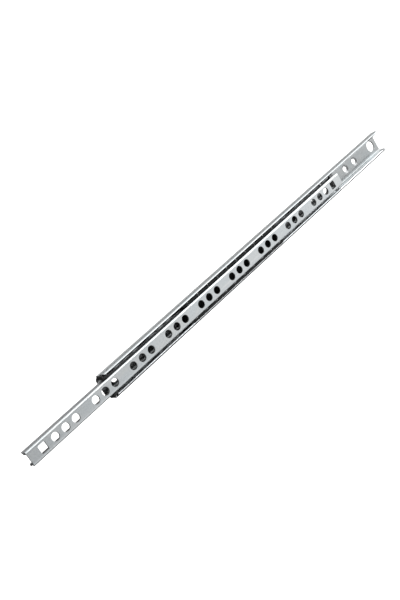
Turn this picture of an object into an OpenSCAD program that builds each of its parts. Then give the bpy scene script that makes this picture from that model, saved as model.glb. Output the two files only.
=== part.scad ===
// Ball-bearing drawer slide, single extension, 17 mm wide and 10 mm thick.
// X runs along the slide, and the drawer pulls out towards -X. Y runs across it. Z points away
// from the cabinet side. The origin is the centre of the cabinet rail's back face.

/* [Rails] */
// Length of each rail
rail_len = 310; // [180:1:460]
// Overall width across the cabinet rail
slide_w = 17; // [16.6:0.1:18]
// Thickness of the steel strip
sheet = 1; // [0.8:0.05:1.1]
// How far the drawer is pulled out as the part is drawn
pulled = 63.5; // [0:0.5:180]

/* [Bends] */
// Inside radius of the bends between the cabinet rail's web and walls
web_bend_r = 0.6; // [0.3:0.1:1]
// Outside radius of the drawer rail's long bends
shoulder_bend_r = 1.1; // [0.6:0.1:1.4]
// Radius of the ridge above the drawer rail's ball groove
ridge_r = 0.3; // [0.2:0.05:0.5]
// How far each wall of the cabinet rail is necked in below its ball race
neck_in = 0.5; // [0.3:0.1:0.7]
// Outside radius of that neck
neck_r = 0.6; // [0.4:0.1:1]

/* [Ball races] */
// Diameter of the balls
ball_d = 3.5; // [3.2:0.1:3.6]
// Running clearance between a ball and each race
race_gap = 0.1; // [0.06:0.01:0.16]
// Height of the balls' centres above the back face
ball_z = 6.6; // [6.4:0.1:6.8]
// Height of the drawer rail's face above the balls' centres
drawer_rise = 3.4; // [3.2:0.1:4]
// Depth of the ball groove in each side of the drawer rail
groove_depth = 0.9; // [0.7:0.05:1.1]
// Angle that the cabinet rail's lips wrap over the balls
lip_wrap = 54; // [40:1:58]
// Angle that the drawer rail's lower edges wrap under the balls
hook_wrap = 70; // [60:1:76]
// Balls on each side
balls_per_side = 10; // [4:1:14]
// Distance between neighbouring balls
ball_pitch = 10; // [6:0.5:12]

/* [Ball cage] */
// Spare length of the cage beyond the outermost balls, at each end
cage_end = 5; // [3:0.5:10]
// Thickness of the cage's side walls
cage_wall = 1.15; // [1:0.05:1.3]
// Thickness of the cage's floor
cage_floor = 0.9; // [0.6:0.05:1.2]
// Height of the underside of the cage's floor above the back face
cage_z = 2; // [1.6:0.1:2.2]
// Height of the top of the cage's walls above the balls' centres
cage_rise = 2.2; // [2:0.1:2.4]
// Outside radius between the cage's floor and walls
cage_corner_r = 1.6; // [1.5:0.1:1.8]
// Clearance round each ball in its pocket
pocket_gap = 0.08; // [0.04:0.01:0.12]
// How far the cage sits in front of the middle when the slide is shut
cage_lead = 1.5; // [1:0.5:3]
// Size of the slanted lead-in at the top of each end of the cage's walls
cage_lead_in = 1.6; // [0.8:0.1:2.4]

/* [Drawer rail holes] */
// Diameter of the round screw holes
drawer_hole_d = 5.2; // [4:0.1:5.4]
// Distance between neighbouring groups of three holes
group_pitch = 32; // [30:1:40]
// Distance between the holes of one group
hole_pitch = 8; // [7:0.5:9]
// Distance from the rail's front end to the middle of the first group
group_inset = 27; // [26:0.5:36]
// Length of the square adjusting hole along the rail
square_l = 4.9; // [4:0.1:6]
// Width of the square adjusting hole across the rail
square_w = 5.3; // [4:0.1:5.5]
// Distance from the end group's last round hole to the square hole
square_step = 9.15; // [8:0.05:10]

/* [Cabinet rail holes] */
// Diameter of the large access hole near the rear end
access_d = 8.2; // [6:0.1:9]
// Distance from the rear end to that access hole
access_x = 7.6; // [7:0.1:12]
// Diameter of the two screw holes through the web
screw_d = 4.2; // [3.5:0.1:4.6]
// Diameter of their sunk mouths
screw_mouth_d = 6.4; // [5.6:0.1:7.4]
// Depth of those sunk mouths
screw_mouth_depth = 0.7; // [0.3:0.05:0.75]
// Distance from the rear end to the rearmost screw hole
screw_x = 31.8; // [28:0.1:36]
// Distance between the two screw holes
screw_pitch = 12.4; // [10:0.1:16]
// Diameter of the inner access hole
inner_access_d = 8; // [6:0.1:9]
// Distance from the rear end to the inner access hole
inner_access_x = 74.8; // [68:0.1:80]
// Diameter of the small locating hole
locating_d = 2.5; // [2:0.1:3.5]
// Distance from the rear end to the locating hole
locating_x = 90.5; // [86:0.1:96]
// Diameter of the screw hole near the front end
front_hole_d = 5.4; // [4:0.1:6]
// Distance from the walls' front end to that hole
front_hole_x = 9; // [8:0.1:12]

/* [Ends and stops] */
// How far the cabinet rail's web runs on past its walls at the front end, as a tongue
tongue_l = 1.6; // [0.6:0.1:3]
// Size of the corners cut off that tongue
tongue_corner = 0.8; // [0.4:0.1:1]
// How far the lips' inner edges are trimmed back at the rear end
trim_rear = 6; // [3:0.5:8]
// How far the lips' outer edges are trimmed back at the rear end
trim_rear_outer = 1; // [0:0.1:2]
// How far the lips' inner edges are trimmed back at the front end
trim_front = 2; // [1:0.1:3]
// How far the lips' outer edges are trimmed back at the front end
trim_front_outer = 0.5; // [0:0.1:0.8]
// Length of each front bumper inside its race
bumper_l = 3.2; // [2.4:0.1:5]
// Thickness of each front bumper's nose, which covers the end of the race
nose_l = 0.8; // [0.5:0.1:1.5]
// Height of the underside of the front bumpers above the back face
bumper_z = 2; // [1.7:0.1:3]
// Height of the top of the front bumpers above the balls' centres
bumper_rise = 1.7; // [1.5:0.1:2]
// Gap between a bumper and the steel round it
bumper_gap = 0.04; // [0.02:0.01:0.08]
// Gap left between a stop and what it catches at full extension
stop_gap = 0.3; // [0.2:0.05:0.5]
// Distance from the drawer rail's rear end to the stop ears pressed out of its sides
ear_end = 1.2; // [0.6:0.1:2]
// Height of each stop ear
ear_h = 1.8; // [1.2:0.1:2.2]
// Depth of the dents that hold the front bumpers in their races
dent_depth = 0.25; // [0.1:0.05:0.4]
// Radius of those dents
dent_r = 4; // [3:0.5:6]
// Distance from the bumpers' inner ends to those dents
dent_step = 1.2; // [0.6:0.1:3]

/* [Hidden] */
arc_step = 10; // degrees between the points of a round stretch
hole_sides = 64;
ball_sides = 48;
slip = 0.3; // gap between pieces that slide past each other
over = 0.5; // how far a cut runs past the face it opens
ear_full = 0.6; // share of a stop ear's length that stands out in full
nose_round = 0.8; // corner radius of a bumper's nose, as a share of its thickness
race_r = ball_d / 2 + race_gap;
ball_y = slide_w / 2 - sheet - race_r;
race = [ball_y, ball_z];
slide_h = ball_z + drawer_rise; // overall thickness, from the cabinet side to the drawer side

// The cabinet rail's section: the neck's centre is where it touches both the wall and the race.
neck_y = slide_w / 2 - neck_in;
neck = [neck_y + neck_r, ball_z - sqrt(pow(race_r + sheet + neck_r, 2) - pow(neck_y + neck_r - ball_y, 2))];
neck_angle = atan2(ball_z - neck.y, neck.x - ball_y);
web_bend = [neck_y - sheet - web_bend_r, sheet + web_bend_r];

// The drawer rail's section: the ridge's centre is where it touches both the shoulder and the race.
shoulder_y = ball_y - race_r + groove_depth;
shoulder_bend = [shoulder_y - shoulder_bend_r, slide_h - shoulder_bend_r];
ridge_y = shoulder_y - ridge_r;
ridge = [ridge_y, ball_z + sqrt(pow(race_r + ridge_r, 2) - pow(ball_y - ridge_y, 2))];
ridge_angle = atan2(ridge.y - ball_z, ball_y - ridge_y);
groove_back_angle = acos((ball_y - shoulder_y + sheet) / (race_r + sheet));
hook_y = ball_y - race_r * cos(hook_wrap);

// Places along the slide, from the two ends of the cabinet rail.
front_x = -rail_len / 2;
rear_x = rail_len / 2;
drawer_x = front_x - pulled;
drawer_rear_x = drawer_x + rail_len;
cage_len = (balls_per_side - 1) * ball_pitch + 2 * cage_end;
cage_x = -cage_lead - pulled / 2;
cage_shut_front = (rail_len - cage_len) / 2 - cage_lead;
travel = 2 * (cage_shut_front - bumper_l - stop_gap);
ear_x = drawer_rear_x - (rail_len - travel / 2 - cage_shut_front - cage_len - stop_gap);
ear_l = drawer_rear_x - ear_end - ear_x;
groups = floor((rail_len - 2 * group_inset) / group_pitch) + 1;
square_xs = [group_x(0) - hole_pitch - square_step, group_x(groups - 1) + hole_pitch + square_step];

cage_in = hook_y + slip;
cage_out = cage_in + cage_wall;
cage_top_z = ball_z + cage_rise;
bumper_in = hook_y + slip;
bumper_top_z = ball_z + bumper_rise;

sides = ["left", "right"];
ball_names = [for (side = sides) for (i = [1:balls_per_side]) str("ball_", side, "_", i)];
fixed_names = ["outer_rail", "inner_rail", "ball_cage", "front_bumper_left", "front_bumper_right"];

// Points along an arc about c, from angle a0 to angle a1.
function arc(c, r, a0, a1) =
    let (n = ceil(abs(a1 - a0) / arc_step))
    [for (i = [0:n]) let (a = a0 + (a1 - a0) * i / n) [c.x + r * cos(a), c.y + r * sin(a)]];

// The same points on the other side of the middle, in the opposite order.
function flip(points) = [for (i = [len(points) - 1:-1:0]) [-points[i].x, points[i].y]];

// Where the middle of a group of holes is, and where a ball is, along the slide.
function group_x(i) = drawer_x + group_inset + i * group_pitch;
function ball_x(i) = cage_x + (i - (balls_per_side + 1) / 2) * ball_pitch;

// The outside of the race is two runs, so that one point is at its widest and slide_w is exact.
outer_outside = concat(
    arc(race, race_r + sheet, lip_wrap, arc_step),
    arc(race, race_r + sheet, 0, -neck_angle),
    arc(neck, neck_r, 180 - neck_angle, 180),
    arc(web_bend, web_bend_r + sheet, 0, -90));
outer_inside = concat(
    arc(web_bend, web_bend_r, -90, 0),
    arc(neck, neck_r + sheet, 180, 180 - neck_angle),
    arc(race, race_r, -neck_angle, lip_wrap));

inner_outside = concat(
    arc(shoulder_bend, shoulder_bend_r, 90, 0),
    arc(ridge, ridge_r, 0, -ridge_angle),
    arc(race, race_r, 180 - ridge_angle, 180 + hook_wrap));
inner_inside = concat(
    arc(race, race_r + sheet, 180 + hook_wrap, 180 - groove_back_angle),
    [[shoulder_y - sheet, slide_h - sheet]]);

// Carries a section drawn across the slide along X, from x0 over length l.
module along(x0, l) {
    translate([x0, 0, 0]) rotate([90, 0, 90]) linear_extrude(l) children();
}

// A round hole through a rail's web, whose middle height is z.
module web_hole(x, z, d) {
    translate([x, 0, z]) cylinder(h = sheet + 2 * over, d = d, center = true, $fn = hole_sides);
}

module both_sides() {
    children();
    mirror([0, 1, 0]) children();
}

// Takes off a lip's corner down to the balls' height: inner is cut at its inner edge, outer at its widest.
module lip_trim(inner, outer) {
    y_in = ball_y + race_r * cos(lip_wrap);
    y_out = slide_w / 2;
    slope = (inner - outer) / (y_out - y_in);
    plan = [
        [-over, y_in - over],
        [inner + slope * over, y_in - over],
        [outer - slope * over, y_out + over],
        [-over, y_out + over]];
    translate([0, 0, ball_z]) linear_extrude(slide_h) polygon(plan);
}

// The web's flat part, running on past the front end of the walls, seen from above.
module tongue() {
    half_w = web_bend.x;
    tip_x = front_x - tongue_l;
    linear_extrude(sheet) polygon([
        [front_x + over, half_w],
        [tip_x + tongue_corner, half_w],
        [tip_x, half_w - tongue_corner],
        [tip_x, tongue_corner - half_w],
        [tip_x + tongue_corner, -half_w],
        [front_x + over, -half_w]]);
}

module outer_rail() {
    color("silver") difference() {
        union() {
            along(front_x, rail_len)
                polygon(concat(outer_outside, flip(outer_outside), flip(outer_inside), outer_inside));
            tongue();
        }
        web_hole(rear_x - access_x, sheet / 2, access_d);
        web_hole(rear_x - inner_access_x, sheet / 2, inner_access_d);
        web_hole(rear_x - locating_x, sheet / 2, locating_d);
        web_hole(front_x + front_hole_x, sheet / 2, front_hole_d);
        for (x = [screw_x, screw_x + screw_pitch]) {
            web_hole(rear_x - x, sheet / 2, screw_d);
            translate([rear_x - x, 0, sheet - screw_mouth_depth])
                cylinder(h = screw_mouth_depth, d1 = screw_d, d2 = screw_mouth_d, $fn = hole_sides);
        }
        both_sides() {
            translate([front_x, 0, 0]) lip_trim(trim_front, trim_front_outer);
            translate([rear_x, 0, 0]) mirror([1, 0, 0]) lip_trim(trim_rear, trim_rear_outer);
            translate([front_x + bumper_l + dent_step, slide_w / 2 + dent_r - dent_depth, ball_z])
                sphere(r = dent_r, $fn = ball_sides);
        }
    }
}

module inner_rail() {
    color("gainsboro") {
        difference() {
            along(drawer_x, rail_len)
                polygon(concat(flip(inner_outside), inner_outside, inner_inside, flip(inner_inside)));
            for (i = [0:groups - 1], j = [-1:1])
                web_hole(group_x(i) + j * hole_pitch, slide_h - sheet / 2, drawer_hole_d);
            for (x = square_xs)
                translate([x, 0, slide_h - sheet / 2])
                    cube([square_l, square_w, sheet + 2 * over], center = true);
        }
        both_sides() translate([ear_x, 0, ball_z - ear_h / 2]) stop_ear();
    }
}

// An ear pressed out through the ball groove: square in front, where it meets the cage, and sloped behind.
module stop_ear() {
    root_y = ball_y - race_r - sheet / 2;
    tip_y = cage_out - slip / 2;
    linear_extrude(ear_h)
        polygon([[0, root_y], [0, tip_y], [ear_l * ear_full, tip_y], [ear_l, root_y]]);
}

module ball_cage() {
    outside = concat(
        [[cage_out, cage_top_z]],
        arc([cage_out - cage_corner_r, cage_z + cage_corner_r], cage_corner_r, 0, -90));
    fillet_r = cage_corner_r - cage_wall;
    inside = concat(
        arc([cage_in - fillet_r, cage_z + cage_floor + fillet_r], fillet_r, -90, 0),
        [[cage_in, cage_top_z]]);
    color("dimgray") difference() {
        along(cage_x - cage_len / 2, cage_len)
            polygon(concat(outside, flip(outside), flip(inside), inside));
        for (i = [1:balls_per_side])
            translate([ball_x(i), 0, ball_z]) rotate([90, 0, 0])
                cylinder(h = slide_w, r = ball_d / 2 + pocket_gap, center = true, $fn = hole_sides);
        for (end = [-1, 1])
            translate([cage_x + end * cage_len / 2, 0, cage_top_z]) rotate([0, 45, 0])
                cube([cage_lead_in, slide_w, cage_lead_in] * sqrt(2), center = true);
    }
}

module ball(i, side) {
    color("lightgray") translate([ball_x(i), side * ball_y, ball_z]) sphere(d = ball_d, $fn = ball_sides);
}

// A moulded bumper: a plug in the race's mouth, and a nose with a rounded corner over the rail's end.
module front_bumper() {
    plug_r = race_r - bumper_gap;
    lip = [ball_y + plug_r * cos(lip_wrap), ball_z + plug_r * sin(lip_wrap)];
    plug = concat(
        [[bumper_in, bumper_top_z], [bumper_in, bumper_z], [neck_y - sheet - bumper_gap, bumper_z]],
        arc(neck, neck_r + sheet + bumper_gap, 180, 180 - neck_angle),
        arc(race, plug_r, -neck_angle, lip_wrap),
        [[lip.x, bumper_top_z]]);
    nose_y = neck_y;
    corner_r = nose_l * nose_round;
    face = concat(
        [[bumper_in, bumper_top_z], [bumper_in, bumper_z]],
        arc([nose_y - sheet, bumper_z + sheet], sheet, -90, 0),
        arc([nose_y - sheet, bumper_top_z - sheet], sheet, 0, 90));
    plan = concat(
        [[over, bumper_in - over], [-nose_l, bumper_in - over]],
        arc([corner_r - nose_l, nose_y - corner_r], corner_r, 180, 90),
        [[over, nose_y]]);
    color("dimgray") union() {
        along(front_x - bumper_gap, bumper_l + bumper_gap) polygon(plug);
        intersection() {
            along(front_x - bumper_gap - nose_l, nose_l) polygon(face);
            translate([front_x - bumper_gap, 0, 0]) linear_extrude(slide_h) polygon(plan);
        }
    }
}

module front_bumper_left() { front_bumper(); }

module front_bumper_right() { mirror([0, 1, 0]) front_bumper(); }

outer_rail();
inner_rail();
ball_cage();
front_bumper_left();
front_bumper_right();
for (i = [1:balls_per_side]) {
    ball(i, 1);
    ball(i, -1);
}
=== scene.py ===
import bpy
import bmesh
import numpy as np
from mathutils import Matrix, Vector


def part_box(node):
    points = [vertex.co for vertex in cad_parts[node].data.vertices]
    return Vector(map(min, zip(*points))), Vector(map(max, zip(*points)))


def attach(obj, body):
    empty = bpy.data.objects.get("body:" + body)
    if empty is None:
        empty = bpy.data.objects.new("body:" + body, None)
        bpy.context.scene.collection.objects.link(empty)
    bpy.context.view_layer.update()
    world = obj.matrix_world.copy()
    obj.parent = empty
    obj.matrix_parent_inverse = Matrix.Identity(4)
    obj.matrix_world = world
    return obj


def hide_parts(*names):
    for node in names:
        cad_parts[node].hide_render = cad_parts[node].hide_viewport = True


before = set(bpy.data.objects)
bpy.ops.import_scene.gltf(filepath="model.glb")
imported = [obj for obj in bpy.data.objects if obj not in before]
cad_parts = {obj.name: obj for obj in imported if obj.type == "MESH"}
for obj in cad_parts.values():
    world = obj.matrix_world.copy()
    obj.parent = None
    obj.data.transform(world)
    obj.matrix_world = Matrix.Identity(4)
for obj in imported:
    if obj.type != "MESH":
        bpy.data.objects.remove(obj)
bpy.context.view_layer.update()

# A drawer slide: cabinet rail, drawer rail, ball cage with two rows of balls, and two front bumpers.
# Lengths are written in millimetres and scaled to metres where a mesh is made.
mm = 0.001


# a CAD node's lowest and highest corner, in millimetres
def boxOf(node):
    low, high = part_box(node)
    return np.array(low) / mm, np.array(high) / mm


ballLow, ballHigh = boxOf("ball_left_1")
ballY, ballZ = ((ballLow + ballHigh) / 2)[1:]
ballRadius = (ballHigh - ballLow)[2] / 2


# an arc: the centre plus radius times (cos a, sin a), with a going evenly from first to last, in degrees
def arcPoints(centre, radius, first, last, steps):
    a = np.radians(np.linspace(first, last, steps + 1))
    return np.array(centre) + radius * np.column_stack([np.cos(a), np.sin(a)])


# stations every pitch or a little less from start to stop
def spaced(start, stop, pitch):
    return np.linspace(start, stop, max(1, int(np.ceil((stop - start) / pitch))) + 1)


# a section path carried along the slide: row i is the whole path at x = stations[i]
def carried(path, stations):
    x, y = np.meshgrid(stations, path[:, 0], indexing="ij")
    return np.stack([x, y, np.broadcast_to(path[:, 1], x.shape)], axis=-1)


# a plain stretch of sheet: u by v, once at depth 0 and once at depth sheet
def plainCell(u, v, sheet):
    uu, vv = np.meshgrid(u, v, indexing="ij")
    return [np.stack([uu, vv, np.full_like(uu, depth)], axis=-1) for depth in (0, sheet)]


# round the edge of a cell once, from its first corner back to it
def cellEdge(u, v):
    ones = np.ones_like
    return np.concatenate([
        np.column_stack([u, v[0] * ones(u)])[:-1], np.column_stack([u[-1] * ones(v), v])[:-1],
        np.column_stack([u[::-1], v[-1] * ones(u)])[:-1], np.column_stack([u[0] * ones(v), v[::-1]])])


# outline of a round hole: its centre plus (radius + offset) times the unit direction to each edge point
def roundOutline(edge, centre, radius):
    away = edge - centre
    away /= np.linalg.norm(away, axis=1, keepdims=True)
    return lambda offset: centre + (radius + offset) * away


# outline of a square hole: the edge points scaled onto the rectangle, then pushed out by the corner
# radius from the nearest point of a smaller rectangle, which rounds the corners
def squareOutline(edge, centre, halfSize, corner):
    span = (edge.max(axis=0) - edge.min(axis=0)) / 2
    flat = (edge - edge.min(axis=0) - span) / span * halfSize
    core = np.clip(flat, corner - halfSize, halfSize - corner)
    out = (flat - core) / np.linalg.norm(flat - core, axis=1, keepdims=True)
    return lambda offset: centre + core + (corner + offset) * out


# a cell with a hole: rings from the cell's edge, (1 - s) * edge + s * outline, to the hole on the front,
# down the hole's wall by (offset, depth) pairs, and out again on the back
def holeCell(edge, outline, wall, spread=(0, 0.3, 0.6, 0.85, 1)):
    def ring(points, depth):
        return np.column_stack([points, np.full(len(points), depth)])
    front = [ring((1 - s) * edge + s * outline(wall[0][0]), wall[0][1]) for s in spread]
    side = [ring(outline(offset), depth) for offset, depth in wall]
    back = [ring((1 - s) * edge + s * outline(wall[-1][0]), wall[-1][1]) for s in spread[::-1]]
    return [np.stack(front), np.stack(back)], np.stack(side)


# a punched wall: rolled over by a quarter circle where the punch went in, and barely broken where it came out
def punchedWall(sheet, roll, burr):
    turn = np.radians([0, 45, 90])
    rolled = list(zip(roll * (1 - np.sin(turn)), roll * (1 - np.cos(turn))))
    return rolled + [(0, sheet - burr), (burr, sheet)]


# a row of cells side by side: gives the grids of both faces, the hole walls, and every station along u
def panel(cells, v, sheet):
    faces, walls, stations = [], [], []
    for cell in cells:
        u = spaced(cell["from"], cell["to"], cell["pitch"])
        stations.append(u)
        if "outline" not in cell:
            faces += plainCell(u, v, sheet)
            continue
        edge = cellEdge(u, v)
        rings, wall = holeCell(edge, cell["outline"](edge), cell["wall"])
        faces += rings
        walls.append(wall)
    return faces, walls, np.unique(np.round(np.concatenate(stations), 6))


# where rays from a centre meet a closed path round it: on each side of the path, the cross product of the
# side's first point and its run, over the cross product of the ray and the run, is the distance out
def rayRadii(path, centre, angles):
    def cross(u, v):
        return u[..., 0] * v[..., 1] - u[..., 1] * v[..., 0]
    first = path - centre
    run = np.roll(first, -1, axis=0) - first
    rays = np.column_stack([np.cos(angles), np.sin(angles)])[:, None]
    lean = cross(rays, run)
    lean = np.where(abs(lean) < 1e-12, 1e-12, lean)
    share = cross(first, rays) / lean
    out = cross(first, run) / lean
    met = (share > -1e-6) & (share < 1 + 1e-6) & (out > 0)
    return np.where(met, out, np.inf).min(axis=1)


# a lofted piece along X: ring i lies at x[i] and goes round the centre at radii[i], one for each angle
def lofted(x, radii, centre, angles):
    y = centre[0] + radii * np.cos(angles)
    z = centre[1] + radii * np.sin(angles)
    return np.stack([np.broadcast_to(np.array(x)[:, None], y.shape), y, z], axis=-1)


# one mesh from grids of points (rows, columns, 3), each with its material number: neighbouring points
# make quads, meeting edges are welded, and the normals are turned outwards
def makePiece(name, grids, materials, reshape=None):
    points, quads, slots, start = [], [], [], 0
    for grid, slotNumber in grids:
        rows, columns = grid.shape[:2]
        corner = (start + np.arange(rows * columns).reshape(rows, columns))[:-1, :-1].ravel()
        quads.append(np.column_stack([corner, corner + 1, corner + columns + 1, corner + columns]))
        slots.append(np.full(len(corner), slotNumber))
        points.append(grid.reshape(-1, 3))
        start += rows * columns
    points = np.concatenate(points)
    if reshape:
        points = reshape(points)
    mesh = bpy.data.meshes.new(name)
    mesh.from_pydata(points * mm, [], np.concatenate(quads))
    mesh.polygons.foreach_set("material_index", np.concatenate(slots))
    work = bmesh.new()
    work.from_mesh(mesh)
    bmesh.ops.remove_doubles(work, verts=work.verts, dist=0.002 * mm)
    bmesh.ops.recalc_face_normals(work, faces=work.faces)
    for face in work.faces:
        face.smooth = True
    work.to_mesh(mesh)
    work.free()
    for material in materials:
        mesh.materials.append(material)
    piece = bpy.data.objects.new(name, mesh)
    bpy.context.scene.collection.objects.link(piece)
    return piece


# breaks the sharp edges, and keeps broad faces flat to the eye
def softenEdges(piece, width, segments=2):
    bevel = piece.modifiers.new("edgeBreak", "BEVEL")
    bevel.width = width * mm
    bevel.segments = segments
    bevel.limit_method = "ANGLE"
    bevel.angle_limit = np.radians(62)
    normals = piece.modifiers.new("faceNormals", "WEIGHTED_NORMAL")
    normals.weight = 80


# puts a piece in its CAD node's place, on the body that carries it
def finishPiece(piece, node, body):
    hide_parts(node)
    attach(piece, body)


# a node with the given inputs set
def addNode(tree, kind, inputs):
    node = tree.nodes.new(kind)
    for name, value in inputs.items():
        node.inputs[name].default_value = value
    return node


# a bare material: its tree, its shader, and the object coordinates in metres
def startMaterial(name):
    material = bpy.data.materials.new(name)
    material.use_nodes = True
    tree = material.node_tree
    tree.nodes.clear()
    shader = tree.nodes.new("ShaderNodeBsdfPrincipled")
    output = tree.nodes.new("ShaderNodeOutputMaterial")
    tree.links.new(shader.outputs["BSDF"], output.inputs["Surface"])
    place = tree.nodes.new("ShaderNodeTexCoord")
    return material, tree, shader, place.outputs["Object"]


# noise on object coordinates, stretched by its scale along each axis, in features per metre
def noiseField(tree, place, scale, detail, distortion=0.0):
    mapping = addNode(tree, "ShaderNodeMapping", {"Scale": scale})
    noise = addNode(tree, "ShaderNodeTexNoise", {"Scale": 1.0, "Detail": detail, "Distortion": distortion})
    tree.links.new(place, mapping.inputs["Vector"])
    tree.links.new(mapping.outputs["Vector"], noise.inputs["Vector"])
    return noise.outputs["Fac"]


# a value stretched from one range onto another and held at its ends
def rangeMap(tree, value, low, high, toLow, toHigh):
    node = addNode(tree, "ShaderNodeMapRange", {
        "From Min": low, "From Max": high, "To Min": toLow, "To Max": toHigh})
    tree.links.new(value, node.inputs["Value"])
    return node.outputs["Result"]


# a Math node on two values, each a number or a socket
def mathNode(tree, operation, a, b):
    node = tree.nodes.new("ShaderNodeMath")
    node.operation = operation
    for socket, value in zip(node.inputs, (a, b)):
        if isinstance(value, (int, float)):
            socket.default_value = value
        else:
            tree.links.new(value, socket)
    return node.outputs["Value"]


# from the first colour to the second as the factor goes from 0 to 1
def mixColours(tree, factor, first, second):
    node = tree.nodes.new("ShaderNodeMix")
    node.data_type = "RGBA"
    tree.links.new(factor, node.inputs[0])
    for socket, value in ((node.inputs[6], first), (node.inputs[7], second)):
        if isinstance(value, tuple):
            socket.default_value = (*value, 1)
        else:
            tree.links.new(value, socket)
    return node.outputs[2]


# fine relief; below is the relief that this one lies on
def bumpFrom(tree, height, distance, strength, below=None):
    node = addNode(tree, "ShaderNodeBump", {"Strength": strength, "Distance": distance})
    tree.links.new(height, node.inputs["Height"])
    if below:
        tree.links.new(below, node.inputs["Normal"])
    return node.outputs["Normal"]


# zinc-plated strip: cloudy plating, fine rolling lines along the slide, a matte grain and a few long scuffs
def makeZinc(name, look):
    material, tree, shader, place = startMaterial(name)
    clouds = noiseField(tree, place, (55, 160, 160), 3.0, 0.4)
    grain = noiseField(tree, place, (1300, 1500, 1500), 2.0)
    rolled = noiseField(tree, place, (35, 4200, 4200), 2.0)
    scuffs = noiseField(tree, place, (9, 1500, 1500), 0.0, 0.3)
    tint = mixColours(tree, rangeMap(tree, clouds, 0.35, 0.65, 0, 1), look["plating"], look["platingWarm"])
    dulled = mixColours(tree, rangeMap(tree, grain, 0.35, 0.7, 0, look["grainShade"]), tint, look["dull"])
    scuffed = mixColours(tree, rangeMap(tree, scuffs, 0.70, 0.78, 0, 0.5), dulled, look["scuff"])
    tree.links.new(scuffed, shader.inputs["Base Color"])
    shader.inputs["Metallic"].default_value = 1
    cloudy = rangeMap(tree, clouds, 0.3, 0.7, look["roughness"] - 0.04, look["roughness"] + 0.05)
    rough = mathNode(tree, "ADD", rangeMap(tree, rolled, 0.3, 0.7, -0.04, 0.04), cloudy)
    tree.links.new(rough, shader.inputs["Roughness"])
    lined = bumpFrom(tree, rolled, 0.000006, look["lineBump"])
    tree.links.new(bumpFrom(tree, grain, 0.000008, look["grainBump"], lined), shader.inputs["Normal"])
    return material


# the sheared edge of the strip: cleanly cut and bright on the side of the balls; on the outside it is painted
# near black and made rougher, a painted shade that draws a dark line along the lip's outer edge and darkens
# the rail's ends;
# the change comes at a distance from the ball rows, the root of (|y| - ballY)^2 + (z - ballZ)^2
def makeCutEdge(name, look):
    material, tree, shader, place = startMaterial(name)
    tears = noiseField(tree, place, (3500, 3500, 500), 2.0)
    patches = noiseField(tree, place, (300, 300, 300), 2.0)
    steel = mixColours(tree, rangeMap(tree, tears, 0.35, 0.65, 0, 1), look["bright"], look["brighter"])
    patched = mixColours(tree, rangeMap(tree, patches, 0.55, 0.75, 0, 0.4), steel, look["dull"])
    split = tree.nodes.new("ShaderNodeSeparateXYZ")
    tree.links.new(place, split.inputs[0])
    aside = mathNode(tree, "SUBTRACT", mathNode(tree, "ABSOLUTE", split.outputs["Y"], 0.0), ballY * mm)
    above = mathNode(tree, "SUBTRACT", split.outputs["Z"], ballZ * mm)
    squares = [mathNode(tree, "MULTIPLY", run, run) for run in (aside, above)]
    away = mathNode(tree, "POWER", mathNode(tree, "ADD", *squares), 0.5)
    ragged = look["ragged"] * mm
    wandering = mathNode(tree, "ADD", away, rangeMap(tree, tears, 0.3, 0.7, -ragged, ragged))
    # beyond this distance the colour is painted near black: painted shade for the dark outline along the lip
    shadeFrom, shadeTo = look["shadeBand"]
    shadeBand = rangeMap(tree, wandering, shadeFrom * mm, shadeTo * mm, 0, 1)
    tree.links.new(mixColours(tree, shadeBand, patched, look["shadeColour"]), shader.inputs["Base Color"])
    shader.inputs["Metallic"].default_value = 1
    rough = mathNode(tree, "ADD", rangeMap(tree, tears, 0.3, 0.7, *look["roughness"]),
                     mathNode(tree, "MULTIPLY", shadeBand, look["shadeRough"]))
    tree.links.new(rough, shader.inputs["Roughness"])
    tree.links.new(bumpFrom(tree, tears, 0.00002, 0.6), shader.inputs["Normal"])
    return material


# moulded plastic: near black, a fine spark-eroded grain, slow sink marks and paler rubbed patches
def makePlastic(name, look):
    material, tree, shader, place = startMaterial(name)
    grain = noiseField(tree, place, (6000, 6000, 6000), 2.0)
    sink = noiseField(tree, place, (120, 240, 240), 1.0)
    rubbed = noiseField(tree, place, (260, 900, 900), 4.0, 0.6)
    patches = rangeMap(tree, rubbed, 0.52, 0.72, 0, look["rub"])
    tree.links.new(mixColours(tree, patches, look["base"], look["rubbed"]), shader.inputs["Base Color"])
    worn = rangeMap(tree, rubbed, 0.4, 0.7, look["roughness"], look["roughness"] - 0.12)
    rough = mathNode(tree, "ADD", rangeMap(tree, grain, 0.3, 0.7, -0.05, 0.05), worn)
    tree.links.new(rough, shader.inputs["Roughness"])
    shader.inputs["Specular IOR Level"].default_value = look["specular"]
    slow = bumpFrom(tree, sink, 0.00004, 0.4)
    tree.links.new(bumpFrom(tree, grain, 0.00001, 0.5, slow), shader.inputs["Normal"])
    return material


# polished balls: nearly a mirror under a thin, patchy film of grease
def makeBallSteel(name, look):
    material, tree, shader, place = startMaterial(name)
    film = noiseField(tree, place, (700, 700, 700), 3.0)
    fine = noiseField(tree, place, (9000, 9000, 9000), 1.0)
    colour = mixColours(tree, rangeMap(tree, film, 0.4, 0.65, 0, 1), look["steel"], look["greasy"])
    tree.links.new(colour, shader.inputs["Base Color"])
    shader.inputs["Metallic"].default_value = 1
    tree.links.new(rangeMap(tree, film, 0.4, 0.7, *look["roughness"]), shader.inputs["Roughness"])
    tree.links.new(bumpFrom(tree, fine, 0.000002, 0.4), shader.inputs["Normal"])
    return material


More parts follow.
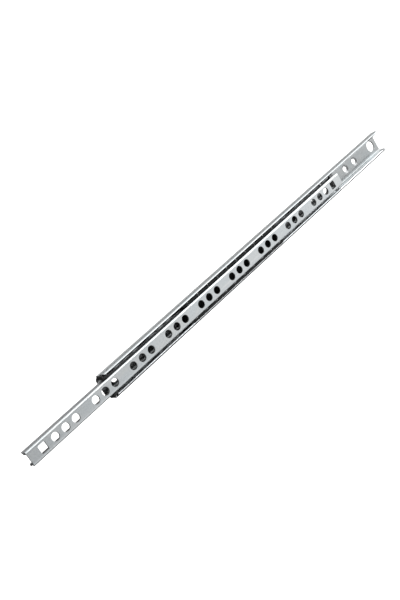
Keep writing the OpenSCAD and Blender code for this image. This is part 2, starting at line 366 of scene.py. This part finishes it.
# the cabinet rail's plating is painted darker than the drawer rail's: painted shade for its web, which lies
# recessed between its walls
cabinetZinc = makeZinc("cabinetZinc", {
    "plating": (0.44, 0.47, 0.48), "platingWarm": (0.48, 0.49, 0.49), "dull": (0.34, 0.36, 0.37),
    "scuff": (0.60, 0.62, 0.63), "grainShade": 0.7, "roughness": 0.25, "lineBump": 0.5, "grainBump": 0.6})
drawerZinc = makeZinc("drawerZinc", {
    "plating": (0.635, 0.675, 0.695), "platingWarm": (0.690, 0.710, 0.715), "dull": (0.46, 0.49, 0.50),
    "scuff": (0.80, 0.82, 0.83), "grainShade": 0.7, "roughness": 0.32, "lineBump": 0.5, "grainBump": 0.5})
# where the balls run, and on the cabinet rail's hole walls, the plating is darker and rougher: a little on
# the cabinet rail, far more in the drawer rail's grooves and hooks
cabinetTrack = makeZinc("cabinetTrack", {
    "plating": (0.40, 0.42, 0.43), "platingWarm": (0.44, 0.44, 0.44), "dull": (0.30, 0.31, 0.32),
    "scuff": (0.55, 0.56, 0.57), "grainShade": 0.4, "roughness": 0.36, "lineBump": 0.8, "grainBump": 0.4})
trackZinc = makeZinc("trackZinc", {
    "plating": (0.190, 0.196, 0.202), "platingWarm": (0.225, 0.227, 0.230), "dull": (0.14, 0.14, 0.145),
    "scuff": (0.32, 0.32, 0.33), "grainShade": 0.5, "roughness": 0.52, "lineBump": 0.8, "grainBump": 0.4})
# the drawer rail's inside, back, hole walls and ends are painted dark and dull: painted shade for the rail's
# hollow underside
insideShadeZinc = makeZinc("insideShadeZinc", {
    "plating": (0.26, 0.27, 0.28), "platingWarm": (0.30, 0.30, 0.30), "dull": (0.20, 0.21, 0.21),
    "scuff": (0.40, 0.41, 0.42), "grainShade": 0.4, "roughness": 0.50, "lineBump": 0.5, "grainBump": 0.6})
# the near-black colour of the outer band is painted shade on the outer part of each cut face
cutEdge = makeCutEdge("cutEdge", {
    "bright": (0.78, 0.80, 0.82), "brighter": (0.88, 0.90, 0.92), "dull": (0.55, 0.55, 0.56),
    "roughness": (0.09, 0.14), "shadeBand": (2.40, 2.52), "ragged": 0.06, "shadeColour": (0.10, 0.103, 0.106),
    "shadeRough": 0.20})
cagePlastic = makePlastic("cagePlastic", {
    "base": (0.008, 0.009, 0.009), "rubbed": (0.020, 0.021, 0.021), "rub": 0.5, "roughness": 0.46,
    "specular": 0.22})
bumperPlastic = makePlastic("bumperPlastic", {
    "base": (0.009, 0.010, 0.010), "rubbed": (0.032, 0.034, 0.035), "rub": 0.8, "roughness": 0.42,
    "specular": 0.35})
ballSteel = makeBallSteel("ballSteel", {
    "steel": (0.40, 0.41, 0.42), "greasy": (0.33, 0.33, 0.32), "roughness": (0.09, 0.26)})
print("materials made")


# a folded strip: a flat web with holes, and on each side a flange whose outside and inside paths have
# matched points; a lip may join them, and the two ends are closed. The marks say from which point of a path
# on which material is used; the web's back, the hole walls, the ends and the lip have one material each
def foldedStrip(web, outside, inside, webPlace, outsideMarks=((0, 0),), insideMarks=((0, 0),),
                back=0, hole=1, end=1, lip=1):
    faces, walls, stations = web["panel"]
    v = web["v"]
    grids = [(webPlace(grid), 0) for grid in faces[::2]]
    grids += [(webPlace(grid), back) for grid in faces[1::2]]
    grids += [(webPlace(grid), hole) for grid in walls]
    for x in stations[[0, -1]]:
        across = np.column_stack([np.full_like(v, x), v])
        rows = [np.column_stack([across, np.full_like(v, depth)]) for depth in (0, web["sheet"])]
        grids.append((webPlace(np.stack(rows)), end))
    for side in (1, -1):
        turned = np.array([side, 1])
        outer, inner = outside * turned, inside * turned
        for path, marks in ((outer, outsideMarks), (inner, insideMarks)):
            stops = [mark for mark, _ in marks[1:]] + [len(path) - 1]
            for (mark, number), stop in zip(marks, stops):
                grids.append((carried(path[mark:stop + 1], stations), number))
        if lip:
            grids.append((carried(np.stack([outer[-1], inner[-1]]), stations), lip))
        for x in stations[[0, -1]]:
            ends = [carried(path, np.array([x]))[0] for path in (outer, inner)]
            grids.append((np.stack(ends), end))
    return grids


# a cell with a round hole in its middle, reaching half its length to each side
def roundHole(along, diameter, wall, half, pitch, across=0.0):
    centre = np.array([along, across])
    return {"from": along - half, "to": along + half, "pitch": pitch, "wall": wall,
            "outline": lambda edge: roundOutline(edge, centre, diameter / 2)}


# fills the stretches between the hole cells with plain sheet
def withPlainCells(cells, start, stop, pitch=60):
    filled, at = [], start
    for cell in sorted(cells, key=lambda c: c["from"]):
        if cell["from"] > at + 0.01:
            filled.append({"from": at, "to": cell["from"], "pitch": pitch})
        filled.append(cell)
        at = cell["to"]
    if stop > at + 0.01:
        filled.append({"from": at, "to": stop, "pitch": pitch})
    return filled


cabinetRail = {
    "sheet": 1.0, "webBend": 0.6, "neckIn": 0.5, "neckRadius": 0.6, "lipWrap": 54, "lipLean": 6.5,
    "accessHole": 8.2, "accessAt": 7.6, "screwHole": 4.2, "screwAt": 31.8, "screwPitch": 12.4,
    "screwMouth": 6.4, "mouthDepth": 0.7, "mouthEase": 0.25, "mouthBreak": 0.06,
    "innerAccess": 8.0, "innerAccessAt": 74.8, "innerAccessRoom": 8.0,
    "locatingHole": 2.5, "locatingAt": 90.5, "locatingRoom": 6.0, "frontHole": 5.4, "frontHoleAt": 9.0,
    "trimRear": (6.0, 1.0), "trimFront": (2.0, 0.5), "trimReach": 9.0, "trimLimit": 1.4,
    "tongue": 1.6, "tongueBlend": 4.0, "tongueCorner": 0.8,
    "dentAt": 4.4, "dentDepth": 0.25, "dentRadius": 4.0, "rollOver": 0.1, "burr": 0.04, "edgeBreak": 0.05}


# half of the cabinet rail's section: the neck's centre lies where its arc touches both the wall and the race
def cabinetSection(s):
    half, sheet = boxOf("outer_rail")[1][1], s["sheet"]
    raceRadius, neckY = half - sheet - ballY, half - s["neckIn"]
    reach = raceRadius + sheet + s["neckRadius"]
    neckCentre = np.array([neckY + s["neckRadius"], 0])
    neckCentre[1] = ballZ - np.sqrt(reach ** 2 - (neckCentre[0] - ballY) ** 2)
    lean = np.degrees(np.arctan2(ballZ - neckCentre[1], neckCentre[0] - ballY))
    return {"race": raceRadius, "neckY": neckY, "neck": neckCentre, "lean": lean,
            "bend": np.array([neckY - sheet - s["webBend"], sheet + s["webBend"]])}


# the cabinet rail: a flat web with its holes, and on each side a bend, a necked wall and a ball race that
# ends in a lip, all arcs of one section, which is carried along the rail and then shaped at its ends
def makeCabinetRail(s, c):
    low, high = boxOf("outer_rail")
    tip, rear, half = low[0], high[0], high[1]
    front = tip + s["tongue"]
    sheet, lean, raceRadius, bendCentre = s["sheet"], c["lean"], c["race"], c["bend"]
    bendSteps, neckSteps = 8, 5

    # web bend, neck and race: concentric arcs a sheet's thickness apart; the inside runs on by lipLean, so
    # the lip's edge leans a little
    def side(bend, neck, race, wrap):
        return np.concatenate([arcPoints(bendCentre, bend, -90, 0, bendSteps),
                               arcPoints(c["neck"], neck, 180, 180 - lean, neckSteps),
                               arcPoints((ballY, ballZ), race, -lean, 0, 5)[1:],
                               arcPoints((ballY, ballZ), race, 0, wrap, 8)[1:]])
    outside = side(s["webBend"] + sheet, s["neckRadius"], raceRadius + sheet, s["lipWrap"])
    inside = side(s["webBend"], s["neckRadius"] + sheet, raceRadius, s["lipWrap"] + s["lipLean"])

    punched = punchedWall(sheet, s["rollOver"], s["burr"])
    mouth, depth, broken = (s["screwMouth"] - s["screwHole"]) / 2, s["mouthDepth"], s["mouthBreak"]
    sunk = [(mouth + s["mouthEase"], 0), (mouth, broken), (broken, depth - broken), (0, depth),
            (0, sheet - s["burr"]), (s["burr"], sheet)]
    holes = [roundHole(rear - s["screwAt"] - step, s["screwHole"], sunk, s["screwPitch"] / 2, 1.0)
             for step in (0, s["screwPitch"])]
    holes += [
        roundHole(rear - s["accessAt"], s["accessHole"], punched, s["accessAt"], 1.0),
        roundHole(rear - s["innerAccessAt"], s["innerAccess"], punched, s["innerAccessRoom"], 1.0),
        roundHole(rear - s["locatingAt"], s["locatingHole"], punched, s["locatingRoom"], 1.0),
        roundHole(front + s["frontHoleAt"], s["frontHole"], punched, s["frontHoleAt"], 0.5)]
    v = np.linspace(-bendCentre[0], bendCentre[0], 13)
    cells = panel(withPlainCells(holes, tip, rear), v, sheet)
    raceFrom = bendSteps + neckSteps + 1
    grids = foldedStrip({"panel": cells, "v": v, "sheet": sheet}, outside, inside,
                        lambda grid: grid * [1, 1, -1] + [0, 0, sheet],
                        insideMarks=((0, 0), (raceFrom, 2)), hole=2)
    tipY = ballY + raceRadius * np.cos(np.radians(s["lipWrap"]))

    # tongue: all but the web is drawn back from its tip, x moving in by the tongue's length times a fade
    # over the blend, and its two corners are cut off; lips: x moves in by a trim that grows from the rail's
    # widest place to the lip's edge, fading out over trimReach; dents: the outside of each race sinks by
    # depth - d * d / (2 * radius), with d the distance from the dent's middle
    def reshape(p):
        p = p.copy()
        walls = abs(p[:, 1]) > bendCentre[0] + 0.01
        room = s["tongue"] + s["tongueBlend"]
        p[:, 0] += walls * s["tongue"] * np.clip(1 - (p[:, 0] - tip) / room, 0, 1)
        corner = np.clip(abs(p[:, 1]) - bendCentre[0] + s["tongueCorner"], 0, None)
        p[:, 0] += ~walls * corner * (p[:, 0] < tip + 0.01)
        inward = np.clip((half - abs(p[:, 1])) / (half - tipY), 0, s["trimLimit"])
        lip = p[:, 2] > ballZ + 0.001
        for end, direction, (inner, outer) in ((front, 1, s["trimFront"]), (rear, -1, s["trimRear"])):
            fade = np.clip(1 - direction * (p[:, 0] - end) / s["trimReach"], 0, 1)
            p[:, 0] += lip * direction * fade * (outer + (inner - outer) * inward)
        apart = np.hypot(p[:, 0] - front - s["dentAt"], p[:, 2] - ballZ)
        outer = np.hypot(abs(p[:, 1]) - ballY, p[:, 2] - ballZ) > raceRadius + sheet / 2
        sink = np.clip(s["dentDepth"] - apart ** 2 / (2 * s["dentRadius"]), 0, None)
        p[:, 1] -= np.sign(p[:, 1]) * sink * (outer & (abs(p[:, 1]) > ballY))
        return p

    piece = makePiece("cabinetRail", grids, [cabinetZinc, cutEdge, cabinetTrack], reshape)
    softenEdges(piece, s["edgeBreak"])
    finishPiece(piece, "outer_rail", "cabinet_rail")


cabinetShape = cabinetSection(cabinetRail)
raceRadius = cabinetShape["race"]
makeCabinetRail(cabinetRail, cabinetShape)
print("cabinet rail made")

drawerRail = {
    "sheet": 1.0, "shoulderBend": 1.2, "shoulderEase": 0.35, "ridge": 0.3, "grooveDepth": 1.0, "hookWrap": 70,
    "hole": 5.2, "groups": 9, "groupPitch": 32.0, "holePitch": 8.0, "groupInset": 27.0,
    "squareHole": (4.9, 5.3), "squareStep": 9.15, "squareCorner": 0.35, "squareRoom": 3.4,
    "earEnd": 1.2, "earLength": 5.0, "earHeight": 1.8, "earFull": 0.6, "earStep": 0.2, "earClear": 0.15,
    "tabDepth": 4.4, "tabGap": 0.05, "rollOver": 0.07, "burr": 0.04, "edgeBreak": 0.1}


# the drawer rail: a flat face with its holes, and on each side a bend, a ridge and a ball groove that ends in
# a hook, all arcs of one section, which is carried along the rail
def makeDrawerRail(s):
    low, high = boxOf("inner_rail")
    front, rear, top = low[0], high[0], high[2]
    sheet = s["sheet"]
    shoulderY = ballY - raceRadius + s["grooveDepth"]
    bendCentre = np.array([shoulderY - s["shoulderBend"] - s["shoulderEase"], top - s["shoulderBend"]])
    ridgeY = shoulderY - s["ridge"]
    ridgeZ = ballZ + np.sqrt((raceRadius + s["ridge"]) ** 2 - (ballY - ridgeY) ** 2)
    ridgeTurn = np.degrees(np.arctan2(ridgeZ - ballZ, ballY - ridgeY))
    back = np.degrees(np.arccos((ballY - shoulderY + sheet) / (raceRadius + sheet)))

    # an eased bend: an arc stretched across the rail, so that it starts a little earlier on the face
    def easedBend(radius):
        return bendCentre + arcPoints((0, 0), 1, 90, 0, 10) * [radius + s["shoulderEase"], radius]

    # a ball groove: an arc round the balls, from a turn above their middle down to the hook's end
    def groove(radius, turn):
        return arcPoints((ballY, ballZ), radius, 180 - turn, 180 + s["hookWrap"], 22)[1:]

    # the outside has the bend, the ridge and the groove; the inside runs straight down behind the ridge, from
    # a hair below the bend
    ridge = arcPoints((ridgeY, ridgeZ), s["ridge"], 0, -ridgeTurn, 4)
    behind = ballZ + (raceRadius + sheet) * np.sin(np.radians(back))
    straight = np.column_stack([np.full(len(ridge), shoulderY - sheet),
                                np.linspace(bendCentre[1] - 0.03, behind, len(ridge))])
    bend = easedBend(s["shoulderBend"])
    outside = np.concatenate([bend, ridge, groove(raceRadius, ridgeTurn)])
    inside = np.concatenate([
        easedBend(s["shoulderBend"] - sheet), straight, groove(raceRadius + sheet, back)])

    punched = punchedWall(sheet, s["rollOver"], s["burr"])
    middles = front + s["groupInset"] + s["groupPitch"] * np.arange(s["groups"])
    holes = [roundHole(x + step, s["hole"], punched, s["holePitch"] / 2, 1.0)
             for x in middles for step in (-s["holePitch"], 0, s["holePitch"])]
    lone, room = s["holePitch"] + s["squareStep"], s["squareRoom"]
    for x in (middles[0] - lone, middles[-1] + lone):
        size, centre = np.array(s["squareHole"]) / 2, np.array([x, 0.0])
        holes.append({"from": x - room, "to": x + room, "pitch": 1.0, "wall": punched,
                      "outline": lambda edge, c=centre: squareOutline(edge, c, size, s["squareCorner"])})
    v = np.linspace(-bendCentre[0], bendCentre[0], 9)
    earFront = rear - s["earEnd"] - s["earLength"]
    steps = [0, s["earStep"], sheet, sheet + s["earStep"], s["earFull"] * s["earLength"], s["earLength"]]
    marks = earFront + np.array(steps)
    stretches = [{"from": a, "to": b, "pitch": 1.0} for a, b in zip(marks, marks[1:])]
    cells = panel(withPlainCells(holes + stretches, front, rear, 4.0), v, sheet)
    grooveFrom = len(bend) + len(ridge) - 1
    grids = foldedStrip({"panel": cells, "v": v, "sheet": sheet}, outside, inside,
                        lambda grid: grid * [1, 1, -1] + [0, 0, top],
                        ((0, 0), (grooveFrom, 1)), ((0, 2),), back=2, hole=2, end=2, lip=1)
    earTip = boxOf("ball_cage")[1][1] - s["earClear"]

    # stop ears: near the rear end the groove stands out to the ear's tip, in full over its first share and
    # then sloping back to nothing; the hollow behind it starts a sheet's thickness further on
    def reshape(p):
        p = p.copy()
        y, height = abs(p[:, 1]), abs(p[:, 2] - ballZ)
        inner = np.hypot(y - ballY, height) > raceRadius + sheet / 2
        pressed = (height < s["earHeight"] / 2 + 0.02) & (y < ballY) & (y > ballY - raceRadius - 1.5 * sheet)
        along = p[:, 0] - earFront - sheet * inner
        rise = np.clip(along / s["earStep"], 0, 1)
        left = (s["earLength"] - sheet * inner - along) / (s["earLength"] * (1 - s["earFull"]))
        rise = np.minimum(rise, np.clip(left, 0, 1)) * pressed
        p[:, 1] += np.sign(p[:, 1]) * rise * (earTip - sheet * inner - y)
        return p

    # the third material puts painted shade on the inside path, the back, the hole walls and the ends
    piece = makePiece("drawerRail", grids, [drawerZinc, trackZinc, insideShadeZinc], reshape)
    softenEdges(piece, s["edgeBreak"])
    finishPiece(piece, "inner_rail", "drawer_rail")


makeDrawerRail(drawerRail)


# stop tab: the piece pressed out of the rear square hole, turned down from its rear edge; its section is a
# strip with half-round ends, carried across the hole, and each of its flat sides fans out from the middle
def makeStopTab(s):
    low, high = boxOf("inner_rail")
    radius = s["sheet"] / 2
    lastMiddle = low[0] + s["groupInset"] + s["groupPitch"] * (s["groups"] - 1)
    squareX = lastMiddle + s["holePitch"] + s["squareStep"]
    length, width = s["squareHole"]
    middle, half = squareX + length / 2 + s["tabGap"] + radius, width / 2 - s["squareCorner"]
    top = high[2] - s["sheet"] - s["tabGap"] - radius
    foot = high[2] - s["sheet"] - s["tabDepth"] + radius
    section = np.concatenate([arcPoints((middle, top), radius, 0, 180, 8),
                              arcPoints((middle, foot), radius, 180, 360, 8), [[middle + radius, top]]])
    across = np.linspace(-half, half, 5)
    x, y = np.meshgrid(section[:, 0], across, indexing="ij")
    skin = np.stack([x, y, np.broadcast_to(section[:, 1:], x.shape)], axis=-1)
    grids = [(skin, 0)]
    for rim, edge in ((skin[:, 0], -half), (skin[:, -1], half)):
        grids.append((np.stack([rim, np.broadcast_to([middle, edge, (top + foot) / 2], rim.shape)]), 0))
    # the tab takes the drawer rail's painted shade colour, so the rear square hole shows painted shade
    piece = makePiece("stopTab", grids, [insideShadeZinc])
    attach(piece, "drawer_rail")


makeStopTab(drawerRail)
print("drawer rail made")

ballCage = {
    "wall": 1.15, "floor": 0.9, "corner": 1.6, "pocketGap": 0.08, "pocketRoom": 0.7, "pitch": 10.0,
    "perSide": 10, "end": 5.0, "leadIn": 1.6, "edgeBreak": 0.12}


# a channel: a flat floor, round corners, and side walls pierced by one pocket for each ball
def makeBallCage(s):
    low, high = boxOf("ball_cage")
    front, rear, half, under, top = low[0], high[0], high[1], low[2], high[2]
    wall, fillet, flat = s["wall"], s["corner"] - s["wall"], half - s["corner"]
    foot, shoulder = under + s["corner"], top - s["leadIn"]
    pocket = ballRadius + s["pocketGap"]
    holes = [roundHole(x, 2 * pocket, [(0, 0), (0, wall)], pocket + s["pocketRoom"], 0.9, ballZ)
             for x in front + s["end"] + s["pitch"] * np.arange(s["perSide"])]
    v = np.concatenate([np.linspace(foot, shoulder, 6), np.linspace(shoulder, top, 4)[1:]])
    faces, walls, stations = panel(withPlainCells(holes, front, rear, 2.5), v, wall)
    floorV = np.linspace(-flat, flat, 5)
    # the inside reaches the wall's foot a little later than the outside, which stands still meanwhile
    outside = arcPoints((flat, foot), s["corner"], -90, 0, 10)
    outside = np.vstack([outside, outside[-1]])
    inside = arcPoints((flat, under + s["floor"] + fillet), fillet, -90, 0, 10)
    inside = np.vstack([inside, [half - wall, foot]])
    floorCells = plainCell(stations, floorV, s["floor"]), [], stations
    grids = foldedStrip({"panel": floorCells, "v": floorV, "sheet": s["floor"]}, outside, inside,
                        lambda grid: grid + [0, 0, under], end=0, lip=None)
    rim = [np.column_stack([stations, np.full_like(stations, top), np.full_like(stations, d)])
           for d in (0, wall)]
    edges = [np.stack([np.column_stack([np.full_like(v, x), v, np.full_like(v, d)]) for d in (0, wall)])
             for x in (front, rear)]
    # a side wall's grids are stood upright: their second axis becomes the height, and their third the depth
    # from the outside
    for side in (1, -1):
        for grid in faces + walls + [np.stack(rim)] + edges:
            upright = np.stack([grid[..., 0], side * (half - grid[..., 2]), grid[..., 1]], axis=-1)
            grids.append((upright, 0))

    # lead-in: at both ends x moves in by the height above the shoulder
    def reshape(p):
        p = p.copy()
        lean = np.clip(p[:, 2] - shoulder, 0, None)
        p[:, 0] += lean * (p[:, 0] < front + 0.01) - lean * (p[:, 0] > rear - 0.01)
        return p

    piece = makePiece("ballCage", grids, [cagePlastic], reshape)
    softenEdges(piece, s["edgeBreak"])
    finishPiece(piece, "ball_cage", "cage")


makeBallCage(ballCage)
print("ball cage made")

frontBumper = {
    "plugLength": 3.2, "gap": 0.04, "noseCorner": 1.0, "noseRound": 0.64, "smallRound": 0.15,
    "middleShare": 0.35, "directions": 96}


# a plug that fills the race's mouth, and a rounded nose over the rail's end, lofted about one middle line
def makeBumper(name, node, side, s, rail, c):
    low, high = boxOf(node)
    inner, under, top = min(abs(low[1]), abs(high[1])), low[2], high[2]
    sheet, race = rail["sheet"], c["race"] - s["gap"]
    neck = rail["neckRadius"] + sheet + s["gap"]
    plug = np.concatenate([
        [[inner, top], [inner, under], [c["neckY"] - sheet - s["gap"], under]],
        arcPoints(c["neck"], neck, 180, 180 - c["lean"], 6),
        arcPoints((ballY, ballZ), race, -c["lean"], rail["lipWrap"], 14)[1:]])
    plug = np.vstack([plug, [plug[-1, 0], top]])
    corner = s["noseCorner"]
    nose = np.concatenate([
        [[inner, top], [inner, under]],
        arcPoints((c["neckY"] - corner, under + corner), corner, -90, 0, 8),
        arcPoints((c["neckY"] - corner, top - corner), corner, 0, 90, 8)])
    middle = np.array([inner + (c["neckY"] - inner) * s["middleShare"], (under + top) / 2])
    # even directions round the middle line, and one to each corner of both outlines
    corners = np.vstack([plug, nose]) - middle
    even = np.linspace(-np.pi, np.pi, s["directions"], endpoint=False)
    angles = np.unique(np.round(np.append(even, np.arctan2(corners[:, 1], corners[:, 0])), 5))
    angles = np.append(angles, angles[0] + 2 * np.pi)
    plugOut, noseOut = rayRadii(plug, middle, angles), rayRadii(nose, middle, angles)
    # the nose is rounded more on its outer side: the rounding grows with the cosine of the angle
    rounding = s["smallRound"] + (s["noseRound"] - s["smallRound"]) * np.clip(np.cos(angles), 0, 1)
    start, end, small = low[0], high[0], s["smallRound"]
    back = end - s["plugLength"] - s["gap"]
    front = lofted([start, start], np.stack([0 * noseOut, 0.6 * (noseOut - rounding)]), middle, angles)
    turns = np.radians(np.linspace(0, 90, 6))[:, None]
    nosed = lofted(np.full(len(turns), start), noseOut - rounding * (1 - np.sin(turns)), middle, angles)
    nosed[..., 0] += rounding * (1 - np.cos(turns))
    rear = lofted([back, back, end - small, end - 0.3 * small, end, end, end],
                  np.stack([noseOut, plugOut, plugOut, plugOut - 0.3 * small, plugOut - small,
                            0.5 * plugOut, 0 * plugOut]), middle, angles)
    grid = np.concatenate([front, nosed, rear]) * [1, side, 1]
    piece = makePiece(name, [(grid, 0)], [bumperPlastic])
    finishPiece(piece, node, "cabinet_rail")


makeBumper("frontBumperLeft", "front_bumper_left", 1, frontBumper, cabinetRail, cabinetShape)
makeBumper("frontBumperRight", "front_bumper_right", -1, frontBumper, cabinetRail, cabinetShape)
print("front bumpers made")

ball = {"around": 40, "up": 20}


# a ball: its centre plus its radius times (cos v cos u, cos v sin u, sin v), with u round it and v up it
def makeBall(name, node, s):
    low, high = boxOf(node)
    u, v = np.linspace(0, 2 * np.pi, s["around"] + 1), np.linspace(-np.pi / 2, np.pi / 2, s["up"] + 1)
    u, v = np.meshgrid(u, v, indexing="ij")
    out = np.stack([np.cos(v) * np.cos(u), np.cos(v) * np.sin(u), np.sin(v)], axis=-1)
    piece = makePiece(name, [((low + high) / 2 + (high - low)[2] / 2 * out, 0)], [ballSteel])
    finishPiece(piece, node, node)


for side in ("left", "right"):
    for i in range(1, ballCage["perSide"] + 1):
        makeBall(f"ball{side.title()}{i}", f"ball_{side}_{i}", ball)
print("balls made")

# lengths here are in metres; the levels are pairs of a place and how bright it is there
studio = {
    "camera": (-0.35506, 0.13499, 0.43611), "target": (-0.07057, 0.00225, 0.0100), "roll": 78.02,
    "lens": 50.34, "shift": (-0.5 / 600, 0.5 / 600),
    "floorDrop": 0.25, "floorSize": 6.0, "floorColour": (0.82, 0.82, 0.82), "floorGlow": 0.75,
    "flagLevels": ((-1.0, 0.06), (0.02, 0.06), (0.05, 0.95), (0.11, 0.95), (0.14, 0.05), (0.22, 0.18),
                   (0.36, 1.0), (0.65, 1.1), (1.0, 1.1)),
    "softboxPlace": (0.862, 0.749, 0.620), "softboxSize": (1.56, 1.13), "softboxPower": 12.0,
    "skyLevels": ((0.0, 0.99), (0.80, 1.02), (0.85, 1.0), (0.885, 0.85), (0.905, 0.45), (0.93, 0.25),
                  (1.0, 0.25)),
    "skySide": (-0.80, -0.65), "skyFront": (0.34, 0.44), "frontDim": 0.55,
    "skyLow": (0.12, 0.34), "lowSide": (-0.64, -0.44), "lowDim": 0.94}


# a grey ramp through (place, level) pairs
def greyRamp(tree, value, levels):
    ramp = tree.nodes.new("ShaderNodeValToRGB")
    tree.links.new(value, ramp.inputs[0])
    stops = ramp.color_ramp.elements
    while len(stops) < len(levels):
        stops.new(0.5)
    for stop, (place, level) in zip(stops, levels):
        stop.position = place
        stop.color = (level, level, level, 1)
    return ramp.outputs[0]


# the camera looks from one point at another; roll turns it about that line, in degrees
def makeCamera(s):
    camera = bpy.data.objects.new("camera", bpy.data.cameras.new("camera"))
    eye, target = Vector(s["camera"]), Vector(s["target"])
    ahead = (target - eye).normalized()
    level = ahead.cross(Vector((0, 0, 1))).normalized()
    above = level.cross(ahead)
    c, t = np.cos(np.radians(s["roll"])), np.sin(np.radians(s["roll"]))
    right, up = c * level + t * above, c * above - t * level
    camera.matrix_world = Matrix.Translation(eye) @ Matrix((right, up, -ahead)).transposed().to_4x4()
    camera.data.lens = s["lens"]
    camera.data.shift_x, camera.data.shift_y = s["shift"]
    camera.data.clip_start = 0.01
    bpy.context.scene.collection.objects.link(camera)
    bpy.context.scene.camera = camera


# plain paper, a little brighter to the camera, so that it is white but keeps the slide's shadow
def makeFloor(s):
    half = s["floorSize"] / 2
    mesh = bpy.data.meshes.new("floor")
    corners = [(x * half, y * half, 0) for x, y in ((-1, -1), (1, -1), (1, 1), (-1, 1))]
    mesh.from_pydata(corners, [], [(0, 1, 2, 3)])
    floor = bpy.data.objects.new("floor", mesh)
    floor.location = (0, 0, -s["floorDrop"])
    bpy.context.scene.collection.objects.link(floor)
    material = bpy.data.materials.new("floorPaper")
    material.use_nodes = True
    tree = material.node_tree
    tree.nodes.clear()
    output = tree.nodes.new("ShaderNodeOutputMaterial")
    diffuse = addNode(tree, "ShaderNodeBsdfDiffuse", {"Color": (*s["floorColour"], 1)})
    white = addNode(tree, "ShaderNodeEmission", {"Color": (1, 1, 1, 1), "Strength": s["floorGlow"]})
    seen = tree.nodes.new("ShaderNodeAddShader")
    tree.links.new(diffuse.outputs[0], seen.inputs[0])
    tree.links.new(white.outputs[0], seen.inputs[1])
    path = tree.nodes.new("ShaderNodeLightPath")
    # glossy rays see white paper beside the slide on its +Y side, then a dark flag, then white again, and a
    # dark flag all over the -Y side
    place = tree.nodes.new("ShaderNodeTexCoord")
    split = tree.nodes.new("ShaderNodeSeparateXYZ")
    tree.links.new(place.outputs["Object"], split.inputs[0])
    across = rangeMap(tree, split.outputs["Y"], -1, 1, 0, 1)
    pool = addNode(tree, "ShaderNodeEmission", {"Strength": 1.0})
    levels = [((y + 1) / 2, level) for y, level in s["flagLevels"]]
    tree.links.new(greyRamp(tree, across, levels), pool.inputs["Color"])
    first = tree.nodes.new("ShaderNodeMixShader")
    tree.links.new(path.outputs["Is Camera Ray"], first.inputs[0])
    tree.links.new(diffuse.outputs[0], first.inputs[1])
    tree.links.new(seen.outputs[0], first.inputs[2])
    second = tree.nodes.new("ShaderNodeMixShader")
    tree.links.new(path.outputs["Is Glossy Ray"], second.inputs[0])
    tree.links.new(first.outputs[0], second.inputs[1])
    tree.links.new(pool.outputs[0], second.inputs[2])
    tree.links.new(second.outputs[0], output.inputs["Surface"])
    mesh.materials.append(material)


# a white sky to the camera, and one with dark parts for the metal to show
def makeWorld(s):
    world = bpy.data.worlds.new("studio")
    bpy.context.scene.world = world
    world.use_nodes = True
    tree = world.node_tree
    tree.nodes.clear()
    output = tree.nodes.new("ShaderNodeOutputWorld")
    place = tree.nodes.new("ShaderNodeTexCoord")
    split = tree.nodes.new("ShaderNodeSeparateXYZ")
    tree.links.new(place.outputs["Generated"], split.inputs[0])
    # it dims overhead, and on the -Y side low along the horizon and towards the front
    sky = addNode(tree, "ShaderNodeBackground", {"Strength": 1.0})
    tree.links.new(greyRamp(tree, split.outputs["Z"], s["skyLevels"]), sky.inputs["Color"])
    side = rangeMap(tree, split.outputs["Y"], *s["skySide"], 1, 0)
    nearFront = rangeMap(tree, split.outputs["X"], *s["skyFront"], s["frontDim"], 0)
    lowSide = rangeMap(tree, split.outputs["Y"], *s["lowSide"], 1, 0)
    nearHorizon = rangeMap(tree, split.outputs["Z"], *s["skyLow"], s["lowDim"], 0)
    dimmed = mathNode(tree, "MAXIMUM", mathNode(tree, "MULTIPLY", side, nearFront),
                      mathNode(tree, "MULTIPLY", lowSide, nearHorizon))
    tree.links.new(mathNode(tree, "SUBTRACT", 1.0, dimmed), sky.inputs["Strength"])
    white = addNode(tree, "ShaderNodeBackground", {"Color": (1, 1, 1, 1), "Strength": 1.0})
    path = tree.nodes.new("ShaderNodeLightPath")
    mix = tree.nodes.new("ShaderNodeMixShader")
    tree.links.new(path.outputs["Is Camera Ray"], mix.inputs[0])
    tree.links.new(sky.outputs[0], mix.inputs[1])
    tree.links.new(white.outputs[0], mix.inputs[2])
    tree.links.new(mix.outputs[0], output.inputs["Surface"])


# a soft lamp turned towards the slide
def makeSoftbox(name, place, size, power):
    lamp = bpy.data.lights.new(name, "AREA")
    lamp.shape = "RECTANGLE"
    lamp.size, lamp.size_y = size
    lamp.energy = power
    box = bpy.data.objects.new(name, lamp)
    box.location = place
    box.rotation_euler = (-Vector(place)).to_track_quat("-Z", "Y").to_euler()
    bpy.context.scene.collection.objects.link(box)


makeCamera(studio)
makeFloor(studio)
makeWorld(studio)
makeSoftbox("softbox", studio["softboxPlace"], studio["softboxSize"], studio["softboxPower"])
bpy.context.scene.view_settings.view_transform = "Standard"
print("stage set")
